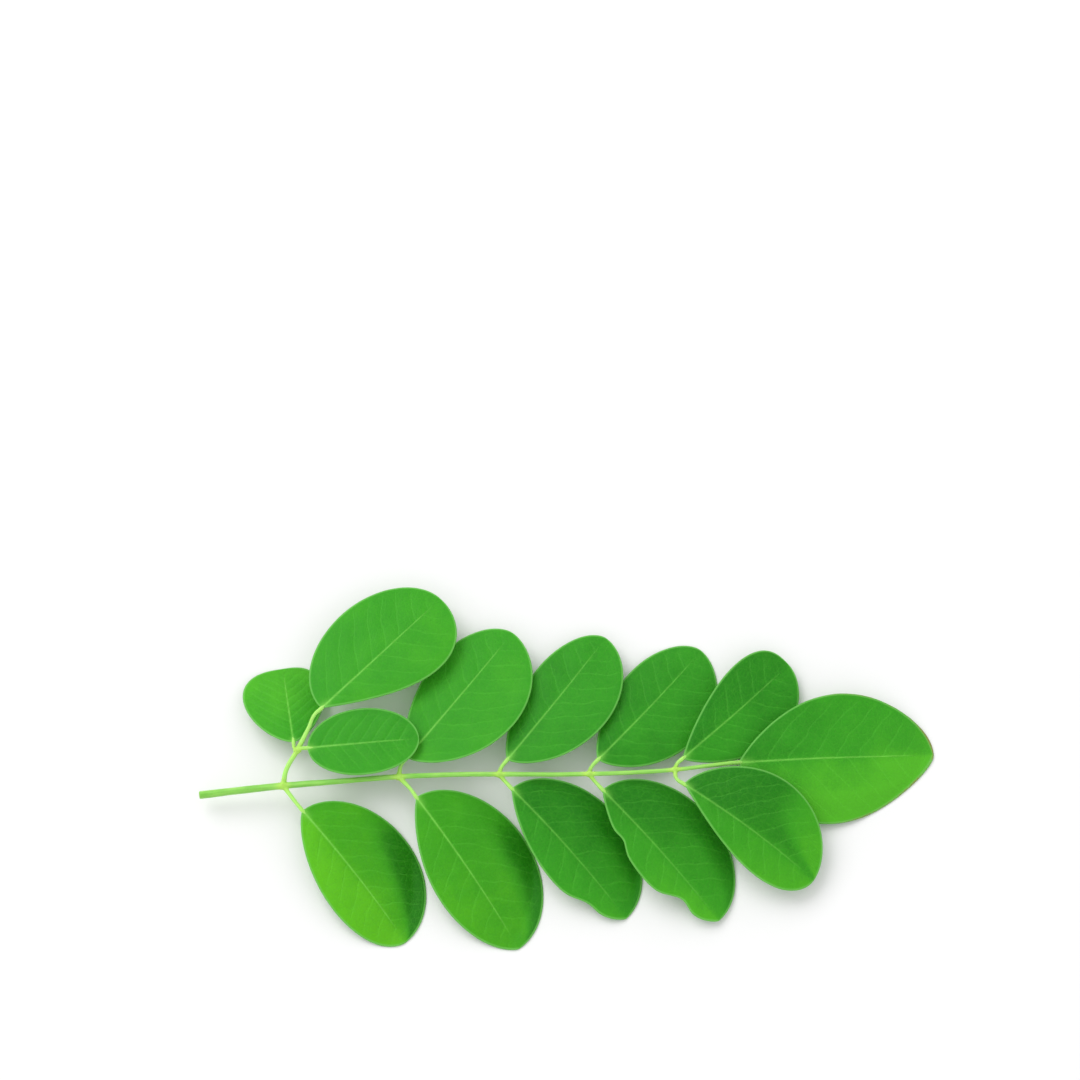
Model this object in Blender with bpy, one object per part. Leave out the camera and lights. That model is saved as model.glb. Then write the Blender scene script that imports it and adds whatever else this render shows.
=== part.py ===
# Moringa leaf sprig: a cut stem lying on a flat surface, with thirteen oval leaflets on short stalks.
# Lengths are in millimetres and angles in degrees. +X runs along the stem from its cut end to the end
# leaflet, +Y is the side of the upper row of leaflets and +Z is up. The surface is at Z = 0.

import math

import bmesh
import bpy
from mathutils import Vector

MM = 0.001

BLADE_THICKNESS = 0.65
BLADE_ROWS = 14
BLADE_COLUMNS = (-1.0, -0.8, -0.5, -0.22, 0.0, 0.22, 0.5, 0.8, 1.0)
NECK_HALF_WIDTH = 0.3
TIP_SHARE = 0.06
STALK_GAP = 0.3
NODE_SWELLING = 0.58
FORK_SWELLING = 0.54
SWELLING_STRETCH = 1.25
BEVEL_RESOLUTION = 3
CURVE_STEPS = 3

# The middle of the model's box seen from above, which becomes the origin.
BOX_MIDDLE = (50.04, 3.40)

# Centre line of the stem: x, y, z and radius, from the cut end to the end leaflet's stalk.
STEM_LINE = (
    (0.0, -0.8, 2.6, 0.53),
    (5.8, -0.2, 3.0, 0.50),
    (11.4, 0.3, 3.4, 0.46),
    (19.0, 0.8, 3.9, 0.38),
    (27.1, 1.3, 4.4, 0.36),
    (34.0, 1.5, 4.8, 0.34),
    (40.7, 1.5, 5.0, 0.34),
    (46.9, 1.4, 5.2, 0.32),
    (52.9, 1.5, 5.2, 0.32),
    (58.8, 1.7, 5.2, 0.30),
    (64.5, 2.1, 5.1, 0.30),
    (68.9, 2.7, 4.8, 0.28),
)

# Centre line of the forked stalk that carries the first three upper leaflets.
FORK_LINE = (
    (11.4, 0.3, 3.4, 0.40),
    (11.8, 2.3, 4.0, 0.33),
    (13.3, 5.0, 4.5, 0.34),
)
FORK_STALK = (14.8, 8.0, 5.0, 0.28)

NODES = {
    "first": (11.4, 0.3, 3.4),
    "second": (27.1, 1.3, 4.4),
    "third": (40.7, 1.5, 5.0),
    "fourth": (52.9, 1.5, 5.2),
    "fifth": (64.5, 2.1, 5.1),
    "fork": (13.3, 5.0, 4.5),
}

# Each side of a blade swells and narrows as t**rise * (1 - t)**fall, with t from the stalk to the tip.
# A form is its rise and its fall.
OVAL = (0.50, 0.50)
ROUND = (0.64, 0.55)
SLIM = (0.78, 0.56)
TAPERED = (0.90, 0.72)
LENS = (1.00, 1.00)
POINTED = (0.80, 1.10)
SHOULDERED = (0.90, 0.34)
BROAD_TIP = (0.65, 0.36)
LATE = (1.05, 0.50)

# Leaflets. "side" is 1 in the upper row and -1 in the lower row. "near" and "far" are the half widths
# towards the stem's cut end and towards its tip, and "forms" are the outlines of those two sides. "roll"
# lifts the far side for each millimetre from the midrib, "arch" lifts the middle of the length, "droop"
# lowers both margins, "bow" bends the midrib sideways and "tip_z" is the tip's height. A nick narrows the
# near side by a share of its width, at a place along it, over a reach to each side. "blunt" rounds off a
# pointed tip over that share of the length.
LEAFLETS = {
    "leaflet_lower_1": {
        "from": "first", "side": -1, "base": (14.1, -3.2, 3.6), "heading": -51.0, "span": 22.4,
        "near": 5.4, "far": 8.4, "forms": (SLIM, OVAL),
        "tip_z": -0.25, "roll": -0.08, "arch": 0.6, "droop": 0.35, "bow": 0.3,
    },
    "leaflet_lower_2": {
        "from": "second", "side": -1, "base": (29.5, -1.5, 4.2), "heading": -55.1, "span": 24.4,
        "near": 5.6, "far": 8.9, "forms": (TAPERED, OVAL),
        "tip_z": -0.35, "roll": -0.10, "arch": 0.7, "droop": 0.35, "bow": 0.3,
    },
    "leaflet_lower_3": {
        "from": "third", "side": -1, "base": (42.4, -0.4, 4.7), "heading": -47.6, "span": 23.0,
        "near": 4.7, "far": 8.3, "forms": (TAPERED, OVAL),
        "tip_z": 0.15, "roll": -0.16, "arch": 0.7, "droop": 0.2, "bow": 0.3,
        "nicks": ((0.80, 0.22, 0.09),),
    },
    "leaflet_lower_4": {
        "from": "fourth", "side": -1, "base": (54.7, -0.6, 4.8), "heading": -47.6, "span": 23.3,
        "near": 4.4, "far": 8.6, "forms": (TAPERED, OVAL),
        "tip_z": 0.8, "roll": -0.18, "arch": 0.9, "droop": 0.15, "bow": 0.2,
        "nicks": ((0.30, 0.18, 0.06), (0.78, 0.40, 0.09)),
    },
    "leaflet_lower_5": {
        "from": "fifth", "side": -1, "base": (65.7, 0.1, 5.2), "heading": -35.8, "span": 21.6,
        "near": 4.7, "far": 8.3, "forms": (LATE, ROUND),
        "tip_z": 2.2, "roll": 0.03, "arch": 1.3, "droop": 0.1, "bow": 0.2,
    },
    "leaflet_upper_2": {
        "from": "second", "side": 1, "base": (28.2, 3.9, 4.6), "heading": 52.0, "span": 23.2,
        "near": 6.0, "far": 8.5, "forms": (SLIM, ROUND),
        "tip_z": 2.6, "roll": 0.18, "arch": 0.6, "droop": 0.2, "bow": 0.2,
    },
    "leaflet_upper_3": {
        "from": "third", "side": 1, "base": (41.8, 3.7, 4.3), "heading": 53.0, "span": 22.5,
        "near": 5.0, "far": 7.4, "forms": (SLIM, ROUND),
        "tip_z": 1.8, "roll": 0.15, "arch": 0.6, "droop": 0.2, "bow": 0.2,
    },
    "leaflet_upper_4": {
        "from": "fourth", "side": 1, "base": (54.1, 3.7, 4.3), "heading": 49.1, "span": 22.0,
        "near": 5.4, "far": 7.7, "forms": (SLIM, ROUND),
        "tip_z": 0.05, "roll": 0.0, "arch": 0.2, "droop": 0.5, "bow": 0.2,
    },
    "leaflet_upper_5": {
        "from": "fifth", "side": 1, "base": (65.6, 3.8, 4.6), "heading": 43.6, "span": 20.5,
        "near": 5.0, "far": 6.4, "forms": (SHOULDERED, SLIM),
        "tip_z": 1.4, "roll": -0.15, "arch": 0.4, "droop": 0.2, "bow": 0.2,
    },
    "leaflet_fork_left": {
        "from": "fork", "side": 1, "base": (12.7, 6.3, 3.9), "heading": 99.3, "span": 11.6,
        "near": 6.0, "far": 5.2, "forms": (BROAD_TIP, BROAD_TIP),
        "tip_z": 0.05, "roll": -0.13, "arch": 0.2, "droop": 0.2, "bow": 0.0,
    },
    "leaflet_fork_right": {
        "from": "fork", "side": 1, "base": (14.7, 5.2, 4.9), "heading": 4.0, "span": 15.2,
        "near": 5.0, "far": 4.5, "forms": (OVAL, OVAL),
        "tip_z": 5.8, "roll": 0.04, "arch": 0.2, "droop": 0.1, "bow": 0.0,
    },
    "leaflet_fork_end": {
        "from": "fork", "side": 1, "base": (16.5, 10.6, 5.5), "heading": 45.1, "span": 22.8,
        "near": 8.1, "far": 7.2, "forms": (OVAL, LATE),
        "tip_z": 3.6, "roll": 0.12, "arch": 0.9, "droop": 0.3, "bow": 0.2,
    },
    "leaflet_end": {
        "from": "stem", "side": 1, "base": (73.2, 3.3, 4.4), "heading": 4.7, "span": 27.0,
        "near": 8.9, "far": 8.7, "forms": (LENS, POINTED), "blunt": 0.08,
        "tip_z": -0.2, "roll": -0.11, "arch": 0.6, "droop": 0.3, "bow": 0.0,
    },
}

# Stalks thin out between their joint and their blade.
STALK_ROOT_RADIUS = 0.36
STALK_RADIUS = 0.28
STALK_END_RADIUS = 0.33
STALK_LEAD = 1.0


def clear_scene():
    for thing in list(bpy.data.objects):
        bpy.data.objects.remove(thing, do_unlink=True)


def make_material(name, colour, roughness):
    material = bpy.data.materials.new(name)
    material.use_nodes = True
    shader = material.node_tree.nodes["Principled BSDF"]
    shader.inputs["Base Color"].default_value = (*colour, 1.0)
    shader.inputs["Roughness"].default_value = roughness
    shader.inputs["Metallic"].default_value = 0.0
    material.diffuse_color = (*colour, 1.0)
    return material


def heading_of(leaf):
    turn = math.radians(leaf["heading"])
    return Vector((math.cos(turn), math.sin(turn), 0.0))


def far_side_of(leaf):
    along = heading_of(leaf)
    return Vector((along.y, -along.x, 0.0)) * leaf["side"]


def side_width(t, widest, form, blunt):
    """Half width of one side of a blade, zero at the stalk (t = 0) and at the tip (t = 1)."""
    rise, fall = form
    peak = rise / (rise + fall)
    left = math.sqrt((1.0 - t) * (1.0 - t + 2.0 * blunt))
    left_at_peak = math.sqrt((1.0 - peak) * (1.0 - peak + 2.0 * blunt))
    return widest * (t / peak) ** rise * (left / left_at_peak) ** fall


def half_width(leaf, t, share):
    """Half width at t on the far side where share is above zero, and on the near side elsewhere."""
    far = share > 0.0
    widest = leaf["far"] if far else leaf["near"]
    width = side_width(t, widest, leaf["forms"][1 if far else 0], leaf.get("blunt", 0.0))
    if not far:
        for place, depth, reach in leaf.get("nicks", ()):
            width *= 1.0 - depth * math.exp(-(((t - place) / reach) ** 2))
    shortest = NECK_HALF_WIDTH if t < 0.5 else TIP_SHARE * widest
    return max(width, shortest)


def blade_point(leaf, t, share):
    """A point of the blade's upper face: t along the midrib, share from -1 at the near margin to 1 at the far."""
    base = Vector(leaf["base"])
    across = half_width(leaf, t, share) * share
    point = base + heading_of(leaf) * (leaf["span"] * t)
    point += far_side_of(leaf) * (across + leaf["bow"] * math.sin(math.pi * t))
    hump = 4.0 * t * (1.0 - t)
    drop = (leaf["tip_z"] - base.z) * t
    edge = leaf["droop"] * share ** 2 * min(1.0, 2.0 * hump)
    point.z = base.z + BLADE_THICKNESS / 2.0 + drop + leaf["arch"] * hump + leaf["roll"] * across - edge
    point.z = max(point.z, BLADE_THICKNESS)
    return point


def make_leaflet(name, leaf, material):
    mesh = bpy.data.meshes.new(name)
    sheet = bmesh.new()
    rows = []
    for i in range(BLADE_ROWS + 1):
        t = 0.5 * (1.0 - math.cos(math.pi * i / BLADE_ROWS))
        rows.append([sheet.verts.new(blade_point(leaf, t, share) * MM) for share in BLADE_COLUMNS])
    for lower, upper in zip(rows, rows[1:]):
        for j in range(len(BLADE_COLUMNS) - 1):
            sheet.faces.new((lower[j], lower[j + 1], upper[j + 1], upper[j]))
    bmesh.ops.triangulate(sheet, faces=sheet.faces[:], quad_method="SHORT_EDGE")
    grown = bmesh.ops.extrude_face_region(sheet, geom=sheet.faces[:])
    under = [piece for piece in grown["geom"] if isinstance(piece, bmesh.types.BMVert)]
    bmesh.ops.translate(sheet, verts=under, vec=(0.0, 0.0, -BLADE_THICKNESS * MM))
    bmesh.ops.recalc_face_normals(sheet, faces=sheet.faces[:])
    sheet.to_mesh(mesh)
    sheet.free()
    mesh.shade_smooth()
    mesh.set_sharp_from_angle(angle=math.radians(50.0))
    return place(name, mesh, material)


def place(name, mesh, material):
    thing = bpy.data.objects.new(name, mesh)
    mesh.materials.append(material)
    thing.location = (-BOX_MIDDLE[0] * MM, -BOX_MIDDLE[1] * MM, 0.0)
    bpy.context.scene.collection.objects.link(thing)
    return thing


def make_tube(name, line):
    """A closed round tube along points of x, y, z and radius."""
    curve = bpy.data.curves.new(name, "CURVE")
    curve.dimensions = "3D"
    curve.bevel_depth = MM
    curve.bevel_resolution = BEVEL_RESOLUTION
    curve.resolution_u = CURVE_STEPS
    curve.use_fill_caps = True
    spline = curve.splines.new("BEZIER")
    spline.bezier_points.add(len(line) - 1)
    for point, (x, y, z, radius) in zip(spline.bezier_points, line):
        point.co = (x * MM, y * MM, z * MM)
        point.radius = radius
        point.handle_left_type = "AUTO"
        point.handle_right_type = "AUTO"
    guide = bpy.data.objects.new(name, curve)
    bpy.context.scene.collection.objects.link(guide)
    bpy.context.view_layer.update()
    mesh = bpy.data.meshes.new_from_object(guide.evaluated_get(bpy.context.evaluated_depsgraph_get()))
    bpy.data.objects.remove(guide, do_unlink=True)
    return bpy.data.objects.new(name, mesh)


def make_swelling(name, centre, radius):
    """The thickened joint where stalks leave the stem, a little longer along it."""
    mesh = bpy.data.meshes.new(name)
    ball = bmesh.new()
    bmesh.ops.create_icosphere(ball, subdivisions=2, radius=radius * MM)
    bmesh.ops.scale(ball, verts=ball.verts, vec=(SWELLING_STRETCH, 1.0, 1.0))
    bmesh.ops.translate(ball, verts=ball.verts, vec=Vector(centre) * MM)
    ball.to_mesh(mesh)
    ball.free()
    return bpy.data.objects.new(name, mesh)


def stalk_line(leaf):
    """The stalk's points: out of its joint, then in line with the blade up to a small gap before it."""
    base = Vector(leaf["base"])
    along = heading_of(leaf)
    end = base - along * STALK_GAP
    lead = end - along * min(STALK_LEAD, 0.4 * (end - Vector(NODES[leaf["from"]])).length)
    points = [(*NODES[leaf["from"]], STALK_ROOT_RADIUS)]
    if leaf.get("side") == 1 and leaf["from"] == "fork" and leaf["span"] > 20.0:
        points.append(FORK_STALK)
    points.append((*lead, STALK_RADIUS))
    points.append((*end, STALK_END_RADIUS))
    return points


def make_stem(material):
    pieces = [make_tube("fork", FORK_LINE)]
    for name, leaf in LEAFLETS.items():
        if leaf["from"] != "stem":
            pieces.append(make_tube("stalk_" + name, stalk_line(leaf)))
    for name, centre in NODES.items():
        radius = FORK_SWELLING if name == "fork" else NODE_SWELLING
        pieces.append(make_swelling("swelling_" + name, centre, radius))
    end_leaf = LEAFLETS["leaflet_end"]
    end = Vector(end_leaf["base"]) - heading_of(end_leaf) * STALK_GAP
    stem = make_tube("stem", STEM_LINE + ((*end, STALK_END_RADIUS),))
    bpy.context.scene.collection.objects.link(stem)

    branches = bpy.data.collections.new("branches")
    bpy.context.scene.collection.children.link(branches)
    for piece in pieces:
        branches.objects.link(piece)
    union = stem.modifiers.new("union", "BOOLEAN")
    union.operation = "UNION"
    union.operand_type = "COLLECTION"
    union.collection = branches
    union.solver = "EXACT"
    bpy.context.view_layer.update()
    joined = bpy.data.meshes.new_from_object(stem.evaluated_get(bpy.context.evaluated_depsgraph_get()))
    for piece in pieces + [stem]:
        bpy.data.objects.remove(piece, do_unlink=True)
    bpy.data.collections.remove(branches)

    joined.name = "stem"
    joined.materials.clear()
    joined.shade_smooth()
    joined.set_sharp_from_angle(angle=math.radians(50.0))
    return place("stem", joined, material)


def main():
    clear_scene()
    leaf_green = make_material("leaf_green", (0.075, 0.340, 0.030), 0.55)
    stem_green = make_material("stem_green", (0.300, 0.560, 0.110), 0.50)
    make_stem(stem_green)
    for name, leaf in LEAFLETS.items():
        make_leaflet(name, leaf, leaf_green)


main()
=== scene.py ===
import math

import bpy
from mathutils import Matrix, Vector
from mathutils.kdtree import KDTree
from mathutils.noise import noise


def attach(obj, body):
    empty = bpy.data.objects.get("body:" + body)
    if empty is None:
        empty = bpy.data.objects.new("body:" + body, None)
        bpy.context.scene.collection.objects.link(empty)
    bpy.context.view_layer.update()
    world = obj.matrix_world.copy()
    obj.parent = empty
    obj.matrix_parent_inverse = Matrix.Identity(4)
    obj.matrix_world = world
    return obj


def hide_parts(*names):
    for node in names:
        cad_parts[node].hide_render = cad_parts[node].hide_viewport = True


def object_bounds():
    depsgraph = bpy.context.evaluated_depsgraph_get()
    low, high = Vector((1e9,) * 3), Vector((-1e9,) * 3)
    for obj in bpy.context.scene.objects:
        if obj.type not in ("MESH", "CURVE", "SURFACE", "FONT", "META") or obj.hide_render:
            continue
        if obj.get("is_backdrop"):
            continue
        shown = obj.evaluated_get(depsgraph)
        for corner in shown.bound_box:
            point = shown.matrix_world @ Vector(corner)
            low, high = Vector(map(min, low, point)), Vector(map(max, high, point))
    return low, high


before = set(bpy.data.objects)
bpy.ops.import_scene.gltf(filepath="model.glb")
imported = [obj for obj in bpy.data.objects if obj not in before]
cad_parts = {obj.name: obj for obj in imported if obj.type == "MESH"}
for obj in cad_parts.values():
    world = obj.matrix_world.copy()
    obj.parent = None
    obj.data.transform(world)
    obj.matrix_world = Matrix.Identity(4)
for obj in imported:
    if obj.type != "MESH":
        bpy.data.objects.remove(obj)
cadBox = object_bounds()
print("frame loaded:", len(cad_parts), "nodes")

# Sizes below are in millimetres, unless a note says metres. Places start on the surface by the stem's cut
# end, and boxMiddle, the middle of the part's box seen from there, is taken off each of them.
mm = 0.001
boxMiddle = (50.04, 3.40, 0.0)


class Wire:
    # an output socket of a node: Python's operators on it add Math nodes, and add() makes any other node
    def __init__(self, tree, socket):
        self.tree = tree
        self.socket = socket

    @staticmethod
    def add(tree, kind, settings=None, sockets=None, out=0):
        node = tree.nodes.new(kind)
        for name, value in (settings or {}).items():
            setattr(node, name, value)
        for name, value in (sockets or {}).items():
            for item in value if isinstance(value, list) else [value]:
                if isinstance(item, Wire):
                    tree.links.new(item.socket, node.inputs[name])
                else:
                    node.inputs[name].default_value = item
        return Wire(tree, node.outputs[out])

    def maths(self, operation, *others):
        values = dict(enumerate((self,) + others))
        return Wire.add(self.tree, "ShaderNodeMath", {"operation": operation}, values)

    def swapped(self, operation, first):
        return Wire.add(self.tree, "ShaderNodeMath", {"operation": operation}, {0: first, 1: self})

    def __add__(self, other):
        return self.maths("ADD", other)

    def __sub__(self, other):
        return self.maths("SUBTRACT", other)

    def __rsub__(self, other):
        return self.swapped("SUBTRACT", other)

    def __mul__(self, other):
        return self.maths("MULTIPLY", other)

    def __truediv__(self, other):
        return self.maths("DIVIDE", other)

    def __rtruediv__(self, other):
        return self.swapped("DIVIDE", other)

    def __pow__(self, other):
        return self.maths("POWER", other)

    def __abs__(self):
        return self.maths("ABSOLUTE")

    __radd__ = __add__
    __rmul__ = __mul__

    def atLeast(self, other):
        return self.maths("MAXIMUM", other)

    def atMost(self, other):
        return self.maths("MINIMUM", other)

    def ease(self, low, high):
        # 0 below low, 1 above high, smooth between
        settings = {"interpolation_type": "SMOOTHSTEP"}
        return Wire.add(self.tree, "ShaderNodeMapRange", settings, {0: self, 1: low, 2: high})

    def bell(self, reach):
        # 1 at zero, falling off on both sides over reach
        ratio = self / reach
        return (ratio * ratio * -1.0).maths("EXPONENT")

    def part(self, index):
        return Wire.add(self.tree, "ShaderNodeSeparateXYZ", None, {0: self}, index)

    def tint(self, first, second):
        # this wire mixes two colours: first at 0, second at 1
        return Wire.add(self.tree, "ShaderNodeMix", {"data_type": "RGBA"}, {0: self, 6: first, 7: second}, 2)


def vector(tree, x, y, z):
    return Wire.add(tree, "ShaderNodeCombineXYZ", None, {0: x, 1: y, 2: z})


def noiseAt(place, scale, detail=1.0):
    sockets = {"Vector": place, "Scale": scale, "Detail": detail}
    return Wire.add(place.tree, "ShaderNodeTexNoise", {"noise_dimensions": "3D"}, sockets)


def keep(geometry, name, value):
    # stores a vector field on the mesh's points, for the materials to read
    settings = {"data_type": "FLOAT_VECTOR"}
    sockets = {"Geometry": geometry, "Name": name, "Value": value}
    return Wire.add(geometry.tree, "GeometryNodeStoreNamedAttribute", settings, sockets)


def readBack(tree, name, out="Vector"):
    # what the mesh's points carry under a name, read in a material
    return Wire.add(tree, "ShaderNodeAttribute", {"attribute_name": name}, None, out)


def newMaterial(name):
    material = bpy.data.materials.new(name)
    material.use_nodes = True
    material.node_tree.nodes.clear()
    return material, material.node_tree


def show(tree, shader):
    leave = tree.nodes.new("ShaderNodeOutputMaterial")
    tree.links.new(shader.socket, leave.inputs["Surface"])


def colour(red, green, blue):
    # a colour seen as 0 to 255, made linear
    return tuple(((part / 255.0 + 0.055) / 1.055) ** 2.4 for part in (red, green, blue)) + (1.0,)


def newObject(name, data):
    thing = bpy.data.objects.new(name, data)
    bpy.context.scene.collection.objects.link(thing)
    return thing


def openTree(name, inputs):
    # a Geometry Nodes tree with named inputs, and a wire from each of them
    kinds = {float: "Float", int: "Int", tuple: "Vector", str: "Geometry"}
    tree = bpy.data.node_groups.new(name, "GeometryNodeTree")
    tree.interface.new_socket(name="Result", in_out="OUTPUT", socket_type="NodeSocketGeometry")
    for label, start in inputs.items():
        kind = "NodeSocket" + kinds[type(start)]
        socket = tree.interface.new_socket(name=label, in_out="INPUT", socket_type=kind)
        if type(start) is not str:
            socket.default_value = start
    entry = tree.nodes.new("NodeGroupInput")
    return tree, {label: Wire(tree, entry.outputs[label]) for label in inputs}


def closeTree(tree, geometry, material):
    solid = Wire.add(tree, "GeometryNodeRealizeInstances", None, {0: geometry})
    painted = Wire.add(tree, "GeometryNodeSetMaterial", None, {"Geometry": solid, "Material": material})
    leave = tree.nodes.new("NodeGroupOutput")
    tree.links.new(painted.socket, leave.inputs[0])


def grow(name, tree, values, data=None):
    # runs a tree on a mesh or curve and gives back an object with the plain result
    holder = newObject(name, data or bpy.data.meshes.new(name))
    modifier = holder.modifiers.new("maker", "NODES")
    modifier.node_group = tree
    for item in tree.interface.items_tree:
        if item.in_out == "INPUT" and item.name in values:
            modifier[item.identifier] = values[item.name]
    graph = bpy.context.evaluated_depsgraph_get()
    made = holder.evaluated_get(graph)
    plain = bpy.data.meshes.new_from_object(made, preserve_all_data_layers=True, depsgraph=graph)
    bpy.data.objects.remove(holder, do_unlink=True)
    plain.name = name
    return newObject(name, plain)


# The leaf's finish: green tissue, paler ribs and rim, a faint net of small veins, light through the blade.
leafFinish = {
    # deep, mid and light are the ramp for each leaflet's tone numbers, which hold painted light and shade too
    "deep": colour(28, 127, 17),
    "mid": colour(56, 166, 32),
    "light": colour(92, 202, 40),
    "rib": colour(136, 220, 88),
    "vein": colour(104, 204, 62),
    "rim": colour(130, 214, 102),
    "under": colour(122, 180, 96),
    "underRib": colour(166, 214, 128),
    "mark": colour(132, 84, 40),
    "through": colour(150, 226, 40),
    "throughShare": 0.28,
    "roughness": 0.52,
    "shine": 0.22,
    "bump": 0.045,
    "warmShift": (0.3, 0.04, -0.5),
    "cloudScale": 0.22,
    "cloudStrength": 0.85,
    "grainScale": 3.4,
    "grainStrength": 0.35,
    "bigCellScale": 0.95,
    "smallCellScale": 2.6,
    "ribReach": 0.15,
    "ribTaper": 0.09,
    "veinReach": 0.22,
    "rimReach": 0.34,
    "neckReach": 0.55,
    "veinMix": 0.11,
    "netMix": 0.10,
    "fineNetMix": 0.08,
    "neckMix": 0.75,
    "rustMix": 0.75,
}


def makeLeafMaterial(finish):
    material, tree = newMaterial("freshLeaf")
    place = readBack(tree, "leafPlace")
    margin = readBack(tree, "leafEdge")
    tissue = readBack(tree, "leafVein")
    extras = readBack(tree, "leafMark")
    across = place.part(1)
    edge = margin.part(0)
    share = margin.part(1)
    under = margin.part(2)
    count = tissue.part(0)
    toneAndShade = tissue.part(1)
    spacing = tissue.part(2)
    marked = extras.part(0)
    ribStrength = extras.part(1)
    warmth = extras.part(2)

    # ribs and veins as masks from 0 to 1
    ribReach = finish["ribReach"] - share * finish["ribTaper"]
    rib = across.bell(ribReach) * (1.0 - share * 0.45) * (1.0 - share.ease(0.78, 0.96))
    fraction = count.maths("FRACT")
    away = (0.5 - abs(fraction - 0.5)) * spacing
    veinFade = edge.ease(0.15, 1.6) * (1.0 - share.ease(0.84, 0.98)) * share.ease(0.02, 0.09)
    vein = (1.0 - away.ease(0.02, finish["veinReach"])) * veinFade
    settings = {"feature": "DISTANCE_TO_EDGE", "voronoi_dimensions": "3D"}
    sockets = {"Vector": place, "Scale": finish["bigCellScale"]}
    bigCells = Wire.add(tree, "ShaderNodeTexVoronoi", settings, sockets)
    sockets = {"Vector": place, "Scale": finish["smallCellScale"]}
    smallCells = Wire.add(tree, "ShaderNodeTexVoronoi", settings, sockets)
    net = (1.0 - bigCells.ease(0.0, 0.10)) * edge.ease(0.1, 0.7)
    fineNet = 1.0 - smallCells.ease(0.0, 0.16)
    rim = 1.0 - edge.ease(0.14, finish["rimReach"])
    neck = (1.0 - share.ease(0.0, 0.10)) * across.bell(finish["neckReach"])
    cloudy = noiseAt(place, finish["cloudScale"], 3.0)
    grain = noiseAt(place, finish["grainScale"], 2.0)

    # upper face: green from deep to light along the tone numbers, partly own tone and partly painted light
    # and shade
    shade = toneAndShade + (cloudy - 0.5) * finish["cloudStrength"]
    shade = shade + (grain - 0.5) * finish["grainStrength"] - net * 0.06
    upper = shade.ease(-1.0, 0.1).tint(finish["deep"], finish["mid"])
    upper = shade.ease(-0.1, 1.0).tint(upper, finish["light"])
    warmer = vector(tree, *(1.0 + warmth * shift for shift in finish["warmShift"]))
    upper = Wire.add(tree, "ShaderNodeVectorMath", {"operation": "MULTIPLY"}, {0: upper, 1: warmer})
    veined = fineNet * finish["fineNetMix"] + net * finish["netMix"] + vein * finish["veinMix"]
    upper = veined.tint(upper, finish["vein"])
    upper = (neck * finish["neckMix"]).tint(upper, finish["rib"])
    upper = (rib * ribStrength * (0.55 + cloudy * 0.35)).tint(upper, finish["rib"])
    upper = (rim * (0.50 + cloudy * 0.40)).tint(upper, finish["rim"])
    rust = (1.0 - edge.ease(0.05, 0.26)) * (cloudy + grain * 0.4).ease(0.5, 0.8) * share.ease(0.4, 0.7)
    rust = rust * marked
    upper = (rust * finish["rustMix"]).tint(upper, finish["mark"])
    # lower face: paler and duller, with ribs that stand out
    lower = (vein * 0.5 + rib * 0.9 + net * 0.2).atMost(1.0).tint(finish["under"], finish["underRib"])
    skin = under.tint(upper, lower)

    roughness = finish["roughness"] + (grain - 0.5) * 0.22 + under * 0.16 - rib * 0.08
    facing = 1.0 - under * 2.0
    relief = (fineNet * 0.16 + net * 0.30 + vein * 0.45) * facing * -1.0 + grain * 0.30
    sockets = {"Strength": 1.0, "Distance": finish["bump"] * mm, "Height": relief}
    bump = Wire.add(tree, "ShaderNodeBump", None, sockets)
    sockets = {"Base Color": skin, "Roughness": roughness, "Normal": bump}
    sockets["Specular IOR Level"] = finish["shine"]
    skinShader = Wire.add(tree, "ShaderNodeBsdfPrincipled", None, sockets)
    through = Wire.add(tree, "ShaderNodeBsdfTranslucent", None, {"Color": finish["through"]})
    thin = finish["throughShare"] * (1.0 - (rib * 0.7 + vein * 0.25 + rust).atMost(1.0))
    show(tree, Wire.add(tree, "ShaderNodeMixShader", None, {0: thin, 1: skinShader, 2: through}))
    return material


leafMaterial = makeLeafMaterial(leafFinish)
print("leaf material ready")
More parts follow.
